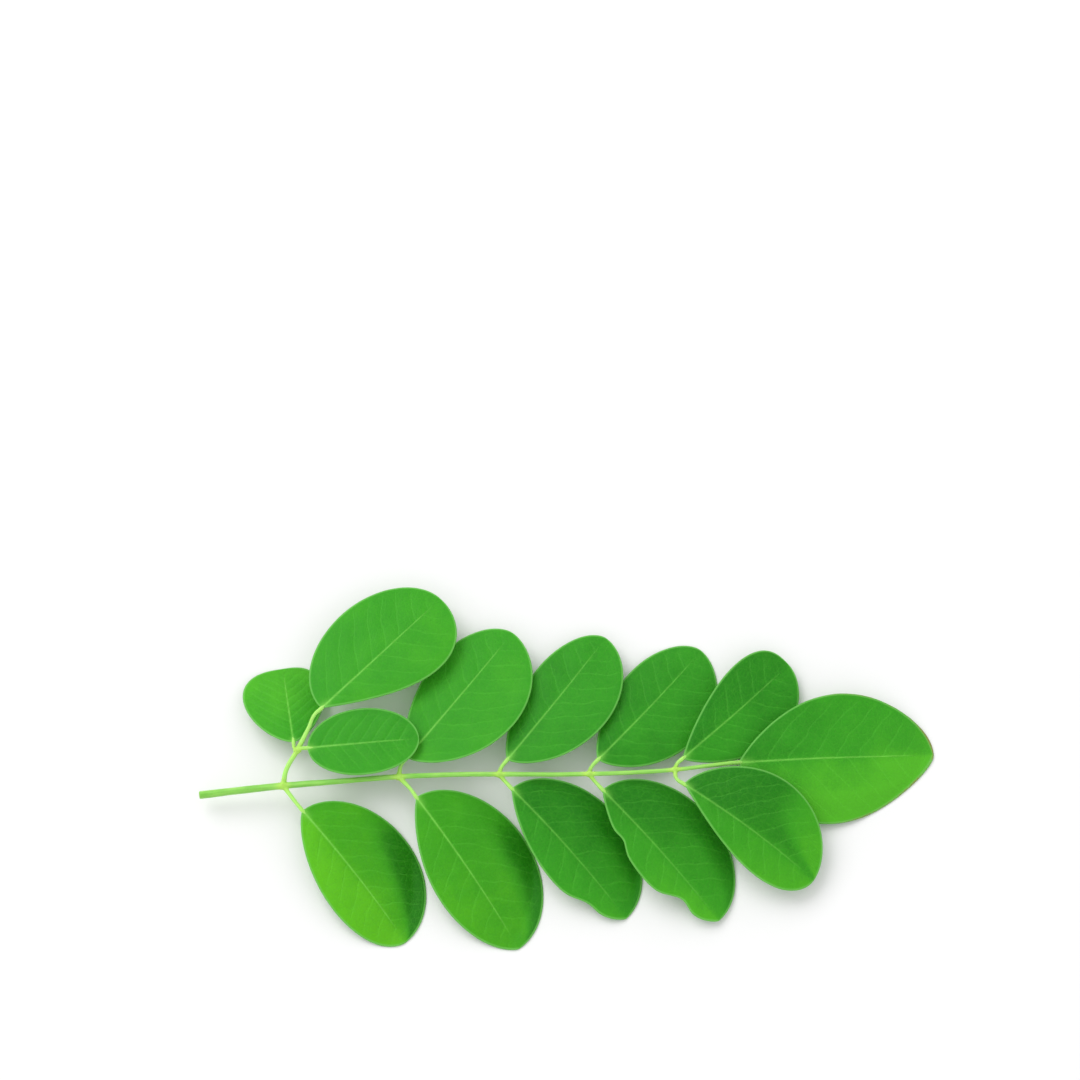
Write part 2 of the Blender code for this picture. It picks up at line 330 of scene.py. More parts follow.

# The leaflets, placed as in the frame. "near" and "far" are the half widths towards the stem's cut end and
# its tip, each with a rise and a fall of its outline, and "blunt" rounds off a pointed tip. "curl" lowers
# the far margin. The tone of the whole blade is darker below 0 and lighter above, and the far-half and tip
# tones add to it in the far half and towards the tip; all three are partly the leaflet's own tone and partly
# painted light and shade. "margin" is the painted shade (below 0) or painted light (above 0) added along the
# far margin, how much wider that stretch gets towards the tip, and where it starts. "rib" is how pale the
# midrib is, "warmth" how yellow the green.
oval = (0.50, 0.50)
rounded = (0.64, 0.55)
slim = (0.78, 0.56)
tapered = (0.90, 0.72)
lens = (0.90, 0.90)
pointed = (0.80, 1.20)
shouldered = (0.90, 0.34)
broadTip = (0.65, 0.36)
late = (1.05, 0.50)
leaflets = {
    "leaflet_lower_1": {
        "base": (14.1, -3.2, 3.6), "heading": -51.0, "span": 22.4, "side": -1, "near": 5.4, "far": 8.4,
        "forms": (slim, oval), "tip": -0.25, "roll": -0.08, "arch": 0.6, "droop": 0.35, "bow": 0.3,
        "toneAndShade": 0.5, "farToneAndShade": -0.4, "tipToneAndShade": 0.0, "curl": 0.7, "margin": (-1.4, 0.6, 0.42), "warmth": 1.0,
    },
    "leaflet_lower_2": {
        "base": (29.5, -1.5, 4.2), "heading": -55.1, "span": 24.4, "side": -1, "near": 5.6, "far": 8.9,
        "forms": (tapered, oval), "tip": -0.35, "roll": -0.10, "arch": 0.7, "droop": 0.35, "bow": 0.3,
        "toneAndShade": 0.15, "farToneAndShade": -0.1, "tipToneAndShade": 0.15, "curl": 0.7, "margin": (-1.1, 0.0, 0.42),
        "warmth": 0.8,
    },
    "leaflet_lower_3": {
        "base": (42.4, -0.4, 4.7), "heading": -47.6, "span": 23.0, "side": -1, "near": 4.7, "far": 8.3,
        "forms": (tapered, oval), "tip": 0.15, "roll": -0.16, "arch": 0.7, "droop": 0.2, "bow": 0.3,
        "nicks": ((0.80, 0.22, 0.09), (0.5, 0.0, 0.1)),
        "toneAndShade": -0.35, "farToneAndShade": -0.3, "tipToneAndShade": 0.45, "curl": 0.5, "margin": (-0.4, 0.0, 0.3), "rib": 0.62,
        "warmth": 0.1,
    },
    "leaflet_lower_4": {
        "base": (54.7, -0.6, 4.8), "heading": -47.6, "span": 23.3, "side": -1, "near": 4.4, "far": 8.6,
        "forms": (tapered, oval), "tip": 0.8, "roll": -0.18, "arch": 0.9, "droop": 0.15, "bow": 0.2,
        "nicks": ((0.30, 0.18, 0.06), (0.78, 0.40, 0.09)),
        "toneAndShade": -0.2, "farToneAndShade": -0.4, "tipToneAndShade": 0.7, "curl": 0.5, "margin": (-0.5, 0.0, 0.3), "rib": 0.55,
        "warmth": 0.2,
    },
    "leaflet_lower_5": {
        "base": (65.7, 0.1, 5.2), "heading": -35.8, "span": 21.6, "side": -1, "near": 4.7, "far": 8.3,
        "forms": (late, rounded), "tip": 2.2, "roll": 0.03, "arch": 1.3, "droop": 0.1, "bow": 0.2,
        "toneAndShade": -0.4, "farToneAndShade": -0.65, "tipToneAndShade": 0.45, "margin": (1.0, 1.2, 0.6), "rib": 0.6, "warmth": 0.4,
    },
    "leaflet_upper_2": {
        "base": (28.2, 3.9, 4.6), "heading": 52.0, "span": 23.2, "side": 1, "near": 6.0, "far": 8.5,
        "forms": (slim, rounded), "tip": 2.6, "roll": 0.18, "arch": 0.6, "droop": 0.2, "bow": 0.2,
        "toneAndShade": 0.1, "farToneAndShade": 0.05, "tipToneAndShade": -0.05,
    },
    "leaflet_upper_3": {
        "base": (41.8, 3.7, 4.3), "heading": 53.0, "span": 22.5, "side": 1, "near": 5.0, "far": 7.4,
        "forms": (slim, rounded), "tip": 1.8, "roll": 0.15, "arch": 0.6, "droop": 0.2, "bow": 0.2,
        "toneAndShade": -0.3, "farToneAndShade": 0.1, "tipToneAndShade": 0.1, "rib": 0.8,
    },
    "leaflet_upper_4": {
        "base": (54.1, 3.7, 4.3), "heading": 49.1, "span": 22.0, "side": 1, "near": 5.4, "far": 7.7,
        "forms": (slim, rounded), "tip": 0.05, "roll": 0.0, "arch": 0.2, "droop": 0.5, "bow": 0.2,
        "toneAndShade": -0.35, "farToneAndShade": 0.1, "tipToneAndShade": 0.2, "rib": 0.75,
    },
    "leaflet_upper_5": {
        "base": (65.6, 3.8, 4.6), "heading": 43.6, "span": 20.5, "side": 1, "near": 5.0, "far": 6.4,
        "forms": (shouldered, slim), "tip": 1.4, "roll": -0.15, "arch": 0.4, "droop": 0.2, "bow": 0.2,
        "toneAndShade": -0.45, "farToneAndShade": 0.25, "tipToneAndShade": -0.1, "rib": 0.7,
    },
    "leaflet_fork_left": {
        "base": (12.7, 6.3, 3.9), "heading": 99.3, "span": 11.6, "side": 1, "near": 6.0, "far": 5.2,
        "forms": (broadTip, broadTip), "tip": 0.05, "roll": -0.13, "arch": 0.2, "droop": 0.2, "bow": 0.0,
        "toneAndShade": 0.4, "farToneAndShade": 0.0, "tipToneAndShade": 0.3,
    },
    "leaflet_fork_right": {
        "base": (14.7, 5.2, 4.9), "heading": 4.0, "span": 15.2, "side": 1, "near": 5.0, "far": 4.5,
        "forms": (oval, oval), "tip": 5.8, "roll": 0.04, "arch": 0.2, "droop": 0.1, "bow": 0.0,
        "toneAndShade": -0.05, "farToneAndShade": 0.1, "tipToneAndShade": 0.0,
    },
    "leaflet_fork_end": {
        "base": (16.5, 10.6, 5.5), "heading": 45.1, "span": 22.8, "side": 1, "near": 8.1, "far": 7.2,
        "forms": (oval, late), "tip": 3.6, "roll": 0.12, "arch": 0.9, "droop": 0.3, "bow": 0.2,
        "toneAndShade": 0.15, "farToneAndShade": 0.1, "tipToneAndShade": 0.0,
    },
    "leaflet_end": {
        "base": (73.2, 3.3, 4.4), "heading": 4.7, "span": 27.0, "side": 1, "near": 8.8, "far": 8.7,
        "forms": (lens, pointed), "blunt": 0.14, "tip": -0.2, "roll": -0.11, "arch": 0.6, "droop": 0.3,
        "bow": 0.0, "toneAndShade": 0.25, "farToneAndShade": 0.5, "tipToneAndShade": 0.45, "curl": 0.7, "margin": (0.8, -0.4, 0.3),
        "mark": 1.0, "warmth": 0.1,
    },
}
# What all blades share.
blade = {
    "thickness": 0.28,
    "neck": 0.22,
    "neckRound": 0.015,
    "crease": 0.12,
    "ridge": 0.16,
    "veinDepth": 0.022,
    "quilt": 0.032,
    "ripple": 0.22,
    "veinsPerLength": 8.5,
    "veinLean": 0.62,
    "veinCurve": 0.035,
    "veinWidth": 0.16,
    "ridgeWidth": 0.24,
    "creaseWidth": 1.2,
    "warpScale": 0.35,
    "rippleScale": 0.13,
    "marginScale": 0.42,
    "seedStep": 7.3,
    "bunching": 0.65,
    "floorBlend": 0.25,
    "sideRounding": 24.0,
    "endRounding": 60.0,
    "rowsPerMillimetre": 6.2,
    "columns": 77,
    "mergeWithin": 0.00001,
}


def makeBladeTree(blade):
    tree, given = openTree("leafletBlade", {
        "Base": (0.0, 0.0, 0.0), "Heading": 0.0, "Side": 1.0, "Span": 20.0, "Near width": 5.0,
        "Far width": 8.0, "Near rise": 0.5, "Near fall": 0.5, "Far rise": 0.5, "Far fall": 0.5,
        "Tip height": 0.0, "Roll": 0.0, "Arch": 0.0, "Droop": 0.0, "Bow": 0.0,
        "First nick": (0.5, 0.0, 0.1), "Second nick": (0.5, 0.0, 0.1), "Blunt": 0.0, "Curl": 0.0,
        "Tone and shade": (0.0, 0.0, 0.0), "Margin": (0.0, 0.0, 0.3), "Mark": 0.0, "Rib": 1.0, "Warmth": 0.0,
        "Seed": 0.0, "Rows": 140,
    })
    sockets = {"Size X": 1.0, "Size Y": 1.0, "Vertices X": given["Rows"], "Vertices Y": blade["columns"]}
    grid = Wire.add(tree, "GeometryNodeMeshGrid", None, sockets)
    flat = Wire.add(tree, "GeometryNodeInputPosition")

    # t runs from the stalk to the tip, u from the near margin (-1) to the far one (1). The rows lie closer
    # towards both ends, and the columns closer towards the midrib and both margins.
    t = 0.5 - ((flat.part(0) + 0.5) * math.pi).maths("COSINE") * 0.5
    t = t.atLeast(0.0).atMost(1.0)
    v = flat.part(1) * given["Side"] * -2.0
    u = v - (v * (2.0 * math.pi)).maths("SINE") * (blade["bunching"] / (2.0 * math.pi))
    far = u.maths("GREATER_THAN", 0.0)
    widest = given["Near width"] + (given["Far width"] - given["Near width"]) * far
    rise = given["Near rise"] + (given["Far rise"] - given["Near rise"]) * far
    fall = given["Near fall"] + (given["Far fall"] - given["Near fall"]) * far
    peak = rise / (rise + fall)
    left = ((1.0 - t) * (1.0 - t + given["Blunt"] * 2.0)) ** 0.5
    leftAtPeak = ((1.0 - peak) * (1.0 - peak + given["Blunt"] * 2.0)) ** 0.5
    width = widest * (t / peak) ** rise * (left / leftAtPeak) ** fall
    for nick in (given["First nick"], given["Second nick"]):
        width = width * (1.0 - (t - nick.part(0)).bell(nick.part(2)) * nick.part(1) * (1.0 - far))
    neck = blade["neck"] * (1.0 - t.ease(0.0, 0.12)) * (t / blade["neckRound"]).atMost(1.0) ** 0.5
    width = width.atLeast(neck)
    along = t * given["Span"]
    across = u * width
    slope = width * (rise / t.atLeast(0.0001) - fall / (1.0 - t).atLeast(0.0001)) / given["Span"]
    edge = (1.0 - abs(u)) * width / (slope * slope + 1.0) ** 0.5

    # where the side veins run: a whole number of the count is a vein
    spacing = given["Span"] / blade["veinsPerLength"]
    leafPlace = vector(tree, along, across, given["Seed"] * blade["seedStep"])
    offLine = abs(across)
    warp = noiseAt(leafPlace, blade["warpScale"]) - 0.5
    count = (along - offLine * blade["veinLean"] - offLine * offLine * blade["veinCurve"]) / spacing
    count = count + far * 0.5 + warp * 0.5 + given["Seed"] * 0.37
    inner = t.ease(0.02, 0.10) * (1.0 - t.ease(0.86, 0.99)) * (1.0 - abs(u) ** 4.0)
    away = (0.5 - abs(count.maths("FRACT") - 0.5)) * spacing
    vein = away.bell(blade["veinWidth"]) * inner
    swell = (0.5 - (count * (2.0 * math.pi)).maths("COSINE") * 0.5) * inner
    ribFade = (1.0 - t / 0.95).atLeast(0.0) ** 0.6 * t.ease(0.0, 0.05)

    hump = t * (1.0 - t) * 4.0
    height = given["Base"].part(2) + (given["Tip height"] - given["Base"].part(2)) * t + given["Arch"] * hump
    height = height + given["Roll"] * across - given["Droop"] * u * u * (hump * 2.0).atMost(1.0)
    height = height - (offLine / -blade["creaseWidth"]).maths("EXPONENT") * blade["crease"] * ribFade
    height = height + swell * blade["quilt"]
    # the margin's own ripple dies out at the tip, so that all columns end in one point
    marginWave = noiseAt(leafPlace, blade["marginScale"]) - 0.5
    marginWave = marginWave * abs(u) ** 3.0 * (1.0 - t.ease(0.93, 1.0))
    wave = (noiseAt(leafPlace, blade["rippleScale"]) - 0.5) * 2.0 + marginWave
    height = height + wave * blade["ripple"] * t.ease(0.0, 0.15)
    outer = u + given["Margin"].part(1) * (t - 0.5)
    height = height - outer.ease(0.55, 1.0) * given["Curl"] * hump * u.ease(0.0, 0.3)
    height = height.maths("SMOOTH_MAX", blade["thickness"] / 2.0, blade["floorBlend"])
    body = (1.0 - abs(u) ** blade["sideRounding"]).atLeast(0.0) ** 0.5
    body = body * (1.0 - abs(t * 2.0 - 1.0) ** blade["endRounding"]).atLeast(0.0) ** 0.5
    top = height + (blade["thickness"] / 2.0 - vein * blade["veinDepth"]) * body
    ridge = across.bell(blade["ridgeWidth"]) * ribFade * blade["ridge"] + vein * blade["veinDepth"]
    bottom = (height - (blade["thickness"] / 2.0 + ridge) * body).atLeast(0.0)

    turn = given["Heading"] * (math.pi / 180.0)
    cosine = turn.maths("COSINE")
    sine = turn.maths("SINE")
    aside = (across + given["Bow"] * (t * math.pi).maths("SINE")) * given["Side"]
    x = given["Base"].part(0) + cosine * along + sine * aside - boxMiddle[0]
    y = given["Base"].part(1) + sine * along - cosine * aside - boxMiddle[1]

    # tone across and along the blade: partly the leaflet's own tone, partly painted light and shade
    halves = u * 0.5 + u.ease(-0.2, 0.2) - 0.5
    tonesAndShade = given["Tone and shade"].part(0) + given["Tone and shade"].part(1) * halves + given["Tone and shade"].part(2) * (t * 2.0 - 1.0)
    # the band along the far margin is painted shade when its number is below 0 and painted light above 0
    started = (t - given["Margin"].part(2)).ease(-0.15, 0.15)
    tonesAndShade = tonesAndShade + given["Margin"].part(0) * outer.ease(0.40, 0.85) * started * u.ease(0.0, 0.3)
    sheet = keep(grid, "leafPlace", leafPlace)
    sheet = keep(sheet, "leafVein", vector(tree, count, tonesAndShade, spacing))
    sheet = keep(sheet, "leafMark", vector(tree, given["Mark"], given["Rib"], given["Warmth"]))
    faces = []
    for below, z in ((0.0, top), (1.0, bottom)):
        face = keep(sheet, "leafEdge", vector(tree, edge, t, below))
        settled = vector(tree, x * mm, y * mm, z * mm)
        face = Wire.add(tree, "GeometryNodeSetPosition", None, {"Geometry": face, "Position": settled})
        if below:
            face = Wire.add(tree, "GeometryNodeFlipFaces", None, {0: face})
        faces.append(face)
    whole = Wire.add(tree, "GeometryNodeJoinGeometry", None, {0: faces})
    sockets = {"Geometry": whole, "Distance": blade["mergeWithin"] * mm}
    whole = Wire.add(tree, "GeometryNodeMergeByDistance", None, sockets)
    whole = Wire.add(tree, "GeometryNodeSetShadeSmooth", None, {"Geometry": whole, "Shade Smooth": True})
    closeTree(tree, whole, leafMaterial)
    return tree


def growLeaflets(leaflets, blade):
    tree = makeBladeTree(blade)
    noNick = (0.5, 0.0, 0.1)
    plainMargin = (0.0, 0.0, 0.3)
    for number, (name, leaf) in enumerate(leaflets.items()):
        (nearRise, nearFall), (farRise, farFall) = leaf["forms"]
        first, second = leaf.get("nicks", (noNick, noNick))
        grown = grow(name + "_blade", tree, {
            "Base": leaf["base"], "Heading": leaf["heading"], "Side": float(leaf["side"]),
            "Span": leaf["span"], "Near width": leaf["near"], "Far width": leaf["far"],
            "Near rise": nearRise, "Near fall": nearFall, "Far rise": farRise, "Far fall": farFall,
            "Tip height": leaf["tip"], "Roll": leaf["roll"], "Arch": leaf["arch"],
            "Droop": leaf["droop"], "Bow": leaf["bow"], "First nick": first, "Second nick": second,
            "Blunt": leaf.get("blunt", 0.0), "Curl": leaf.get("curl", 0.0),
            "Tone and shade": (leaf["toneAndShade"], leaf["farToneAndShade"], leaf["tipToneAndShade"]),
            "Margin": leaf.get("margin", plainMargin), "Mark": leaf.get("mark", 0.0),
            "Rib": leaf.get("rib", 1.0), "Warmth": leaf.get("warmth", 0.0),
            "Seed": float(number + 1), "Rows": int(leaf["span"] * blade["rowsPerMillimetre"]),
        })
        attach(grown, "root")
        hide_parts(name)
        print("  ", name, len(grown.data.polygons), "faces")


growLeaflets(leaflets, blade)
print("leaflets grown:", len(leaflets))

# The stem: centre lines as x, y, z and radius, and the thick joints where stalks leave it.
stem = {
    "line": (
        (0.0, -0.8, 2.6, 0.53), (5.8, -0.2, 3.0, 0.50), (11.4, 0.3, 3.4, 0.45), (19.0, 0.8, 3.9, 0.37),
        (27.1, 1.3, 4.4, 0.35), (34.0, 1.5, 4.8, 0.33), (40.7, 1.5, 5.0, 0.33), (46.9, 1.4, 5.2, 0.31),
        (52.9, 1.5, 5.2, 0.31), (58.8, 1.7, 5.2, 0.29), (64.5, 2.1, 5.1, 0.29), (68.9, 2.7, 4.8, 0.27),
    ),
    "fork": ((11.4, 0.3, 3.4, 0.38), (11.8, 2.3, 4.0, 0.32), (13.3, 5.0, 4.5, 0.33)),
    "forkStalk": (14.8, 8.0, 5.0, 0.27),
    "joints": {
        "first": (11.4, 0.3, 3.4, 0.57), "second": (27.1, 1.3, 4.4, 0.49), "third": (40.7, 1.5, 5.0, 0.48),
        "fourth": (52.9, 1.5, 5.2, 0.46), "fifth": (64.5, 2.1, 5.1, 0.45), "fork": (13.3, 5.0, 4.5, 0.47),
    },
    "stalks": {
        "first": ("leaflet_lower_1",), "second": ("leaflet_lower_2", "leaflet_upper_2"),
        "third": ("leaflet_lower_3", "leaflet_upper_3"), "fourth": ("leaflet_lower_4", "leaflet_upper_4"),
        "fifth": ("leaflet_lower_5", "leaflet_upper_5"),
        "fork": ("leaflet_fork_left", "leaflet_fork_right", "leaflet_fork_end"),
    },
    "stalkRadii": (0.34, 0.25, 0.29, 0.20, 0.12),
    "lead": 1.3,
    "baseDrop": 0.05,
    "underDrop": 0.16,
    "lastDrop": 0.04,
    "runIn": 1.6,
    "voxel": 0.065,
    "curveSteps": 14,
    "stretch": 1.25,
    "smoothing": 5,
    "ridgeCount": 7,
    "ridgeDepth": 0.014,
    "ridgeTwist": 0.25,
    "unevenness": 0.030,
    "jointReach": 1.05,
    "cutDepth": 0.06,
    "cutReach": 0.8,
    "stemPaling": 200.0,
    "stalkPaling": 1.2,
    "stalkPaleness": 0.9,
}


def stalkLine(leaf, start, through=None):
    # out of the joint, in line with the blade, and on under it as the start of its midrib
    rootRadius, middleRadius, endRadius, underRadius, lastRadius = stem["stalkRadii"]
    turn = math.radians(leaf["heading"])
    ahead = Vector((math.cos(turn), math.sin(turn), 0.0))
    base = Vector(leaf["base"])
    slope = (leaf["tip"] - base.z + 4.0 * leaf["arch"]) / leaf["span"]
    lead = base - ahead * min(stem["lead"], 0.5 * (base - Vector(start)).length)
    points = [(*start, rootRadius)]
    if through:
        points.append(through)
    points.append((*lead, middleRadius))
    points.append((*(base - Vector((0.0, 0.0, stem["baseDrop"]))), endRadius))
    for share, radius in ((0.5, underRadius), (1.0, lastRadius)):
        reach = stem["runIn"] * share
        rise = Vector((0.0, 0.0, slope * reach - stem["underDrop"] - stem["lastDrop"] * share))
        points.append((*(base + ahead * reach + rise), radius))
    return points


def stemLines():
    end = leaflets["leaflet_end"]
    endStalk = stalkLine(end, stem["line"][-1][:3])
    lines = [list(stem["line"]) + endStalk[2:], list(stem["fork"])]
    for joint, names in stem["stalks"].items():
        for name in names:
            through = stem["forkStalk"] if name == "leaflet_fork_end" else None
            lines.append(stalkLine(leaflets[name], stem["joints"][joint][:3], through))
    return lines


def makeStemCurve(lines):
    curve = bpy.data.curves.new("stemLines", "CURVE")
    curve.dimensions = "3D"
    curve.resolution_u = stem["curveSteps"]
    for line in lines:
        spline = curve.splines.new("BEZIER")
        spline.bezier_points.add(len(line) - 1)
        for point, (x, y, z, radius) in zip(spline.bezier_points, line):
            point.co = ((x - boxMiddle[0]) * mm, (y - boxMiddle[1]) * mm, z * mm)
            point.radius = radius
            point.handle_left_type = "AUTO"
            point.handle_right_type = "AUTO"
    return curve


def makeTubeTree(joints, material):
    inputs = {"Lines": "", "Sides": 20}
    for joint in joints:
        inputs["Joint " + joint] = (0.0, 0.0, 0.0)
        inputs["Swelling " + joint] = 0.5
    tree, given = openTree("stemTubes", inputs)
    sockets = {"Resolution": given["Sides"], "Radius": mm}
    ring = Wire.add(tree, "GeometryNodeCurvePrimitiveCircle", None, sockets)
    radius = Wire.add(tree, "GeometryNodeInputRadius")
    sockets = {"Curve": given["Lines"], "Profile Curve": ring, "Scale": radius, "Fill Caps": True}
    pieces = [Wire.add(tree, "GeometryNodeCurveToMesh", None, sockets)]
    ball = Wire.add(tree, "GeometryNodeMeshIcoSphere", None, {"Radius": mm, "Subdivisions": 4})
    for joint in joints:
        size = given["Swelling " + joint]
        stretched = vector(tree, size * stem["stretch"], size, size)
        sockets = {"Geometry": ball, "Translation": given["Joint " + joint], "Scale": stretched}
        pieces.append(Wire.add(tree, "GeometryNodeTransform", None, sockets))
    closeTree(tree, Wire.add(tree, "GeometryNodeJoinGeometry", None, {0: pieces}), material)
    return tree


stemFinish = {
    "dark": colour(114, 190, 64),
    "light": colour(162, 222, 102),
    "stalk": colour(174, 236, 112),
    "joint": colour(184, 230, 90),
    "pith": colour(226, 238, 190),
    "ring": colour(178, 188, 120),
    "roughness": 0.42,
    "shine": 0.4,
    "bump": 0.03,
    "softness": 0.25,
    "stretch": 0.10,
    "streakScale": 3.2,
    "fibreScale": 11.0,
    "patchScale": 0.35,
}


def makeStemMaterial(finish):
    material, tree = newMaterial("freshStem")
    grainPlace = readBack(tree, "grain")
    spot = readBack(tree, "spot")
    young = readBack(tree, "young", "Fac")
    joint = spot.part(0)
    cut = spot.part(1)
    depth = spot.part(2)
    # streaks run along the stem: the first coordinate is the way along it
    along = grainPlace.part(0) * finish["stretch"]
    stretched = vector(tree, along, grainPlace.part(1), grainPlace.part(2))
    streaks = noiseAt(stretched, finish["streakScale"], 3.0)
    fibres = noiseAt(stretched, finish["fibreScale"], 2.0)
    patches = noiseAt(grainPlace, finish["patchScale"], 2.0)
    skin = (streaks * 0.7 + patches * 0.6).ease(0.35, 1.0).tint(finish["dark"], finish["light"])
    skin = young.tint(skin, finish["stalk"])
    skin = (joint * (0.45 + patches * 0.5)).atMost(1.0).tint(skin, finish["joint"])
    pale = cut.ease(0.2, 0.9)
    face = depth.ease(0.30, 0.42).tint(finish["pith"], finish["ring"])
    skin = pale.tint(skin, face)
    roughness = finish["roughness"] + (fibres - 0.5) * 0.25 + pale * 0.2
    height = streaks * 0.6 + fibres * 0.4
    sockets = {"Strength": 1.0, "Distance": finish["bump"] * mm, "Height": height}
    bump = Wire.add(tree, "ShaderNodeBump", None, sockets)
    sockets = {"Base Color": skin, "Roughness": roughness, "Normal": bump}
    sockets["Specular IOR Level"] = finish["shine"]
    sockets["Subsurface Weight"] = finish["softness"]
    sockets["Subsurface Radius"] = (0.5 * mm, 0.8 * mm, 0.2 * mm)
    sockets["Subsurface Scale"] = 1.0
    show(tree, Wire.add(tree, "ShaderNodeBsdfPrincipled", None, sockets))
    return material


def centreLines(curve):
    # the curve's own points: each with its distance from the line's start, its direction and its line
    guide = newObject("stemGuide", curve)
    graph = bpy.context.evaluated_depsgraph_get()
    mesh = bpy.data.meshes.new_from_object(guide.evaluated_get(graph))
    places = [vertex.co / mm for vertex in mesh.vertices]
    bpy.data.objects.remove(guide, do_unlink=True)
    bpy.data.meshes.remove(mesh)
    points = []
    start = 0
    for number, spline in enumerate(curve.splines):
        length = 0.0
        amount = (len(spline.bezier_points) - 1) * curve.resolution_u + 1
        line = places[start:start + amount]
        start += amount
        for index, place in enumerate(line):
            after = line[min(index + 1, amount - 1)]
            before = line[max(index - 1, 0)]
            points.append((place, length, (after - before).normalized(), number))
            length += (after - place).length
    return points


def makeStem(stem):
    lines = stemLines()
    curve = makeStemCurve(lines)
    points = centreLines(curve)
    material = makeStemMaterial(stemFinish)
    values = {}
    for joint, (x, y, z, size) in stem["joints"].items():
        values["Joint " + joint] = ((x - boxMiddle[0]) * mm, (y - boxMiddle[1]) * mm, z * mm)
        values["Swelling " + joint] = size
    tubes = grow("stemTubes", makeTubeTree(stem["joints"], material), values, curve)

    # one skin over the tubes and swellings
    remesh = tubes.modifiers.new("skin", "REMESH")
    remesh.mode = "VOXEL"
    remesh.voxel_size = stem["voxel"] * mm
    smooth = tubes.modifiers.new("soft", "SMOOTH")
    smooth.factor = 0.5
    smooth.iterations = stem["smoothing"]
    graph = bpy.context.evaluated_depsgraph_get()
    mesh = bpy.data.meshes.new_from_object(tubes.evaluated_get(graph))
    bpy.data.objects.remove(tubes, do_unlink=True)
    mesh.name = "stem_skin"

    tree = KDTree(len(points))
    for index, (place, _, _, _) in enumerate(points):
        tree.insert(place, index)
    tree.balance()
    jointPlaces = [Vector(joint[:3]) - Vector(boxMiddle) for joint in stem["joints"].values()]
    cutPlace = Vector(stem["line"][0][:3]) - Vector(boxMiddle)
    cutAhead = points[0][2]
    kinds = {"grain": "FLOAT_VECTOR", "spot": "FLOAT_VECTOR", "young": "FLOAT"}
    for name, kind in kinds.items():
        mesh.attributes.new(name, kind, "POINT")
    # looked up only now, because each new attribute can move the ones before it
    grain, spot, young = (mesh.attributes[name] for name in kinds)
    moved = []
    for vertex in mesh.vertices:
        place = vertex.co / mm
        _, index, _ = tree.find(place)
        centre, length, ahead, line = points[index]
        offset = place - centre
        length += offset.dot(ahead)
        sideways = ahead.cross(Vector((0.0, 0.0, 1.0))).normalized()
        upward = sideways.cross(ahead)
        c1 = offset.dot(sideways)
        c2 = offset.dot(upward)
        nearest = min((place - jointPlace).length for jointPlace in jointPlaces)
        joint = math.exp(-(nearest / stem["jointReach"]) ** 4)
        fromCut = place - cutPlace
        onFace = fromCut.dot(cutAhead) < stem["cutDepth"] and fromCut.length < stem["cutReach"]
        cut = 1.0 if onFace else 0.0
        grain.data[vertex.index].vector = (length + line * 1.7, c1, c2)
        spot.data[vertex.index].vector = (joint, cut, math.hypot(c1, c2))
        paling = min(length / stem["stalkPaling"], 1.0) * stem["stalkPaleness"]
        young.data[vertex.index].value = length / stem["stemPaling"] if line == 0 else paling
        angle = math.atan2(c2, c1) * stem["ridgeCount"] + stem["ridgeTwist"] * length
        ridge = math.cos(angle) * stem["ridgeDepth"]
        rough = noise(Vector((length * 0.35, c1 * 1.6, c2 * 1.6 + line))) * stem["unevenness"]
        shift = (ridge + rough) * (1.0 - cut) * (1.0 - 0.5 * joint)
        moved.append(vertex.co + vertex.normal * shift * mm)
    for vertex, place in zip(mesh.vertices, moved):
        vertex.co = place
    mesh.materials.clear()
    mesh.materials.append(material)
    mesh.shade_smooth()
    skin = newObject("stem_skin", mesh)
    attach(skin, "root")
    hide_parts("stem")
    print("   stem", len(mesh.polygons), "faces")
    return skin


stemSkin = makeStem(stem)
print("stem ready")

# Small glands at the joints, and fine hairs all over the stem and its stalks. "least" is how near a joint
# they start: 1 is on it, 0 well away from it.
growths = {
    "joint_glands": {
        "perSquareMillimetre": 2.2, "least": 0.45, "length": 0.13, "width": 0.12, "lean": 25.0,
        "shape": "ball", "sides": 10, "rings": 6, "sunk": 0.35, "seed": 4, "colour": colour(196, 222, 110),
    },
    "stem_hairs": {
        "perSquareMillimetre": 14.0, "least": -1.0, "length": 0.24, "width": 0.020, "lean": 35.0,
        "shape": "cone", "sides": 3, "sunk": 0.08, "seed": 9, "colour": colour(206, 232, 168),
    },
}


# What both share. "patchScale" is for each metre.
growthFinish = {
    "patchScale": 900.0,
    "dullness": 0.72,
    "roughness": 0.35,
    "shine": 0.3,
    "smallest": 0.6,
    "largest": 1.15,
}


def makeGrowthMaterial(name, fresh, finish):
    material, tree = newMaterial(name)
    place = Wire.add(tree, "ShaderNodeTexCoord", None, None, "Object")
    patches = noiseAt(place, finish["patchScale"], 2.0)
    dull = tuple(part * finish["dullness"] for part in fresh[:3]) + (1.0,)
    skin = patches.ease(0.3, 0.7).tint(dull, fresh)
    roughness = finish["roughness"] + patches * 0.2
    sockets = {"Base Color": skin, "Roughness": roughness, "Specular IOR Level": finish["shine"]}
    show(tree, Wire.add(tree, "ShaderNodeBsdfPrincipled", None, sockets))
    return material


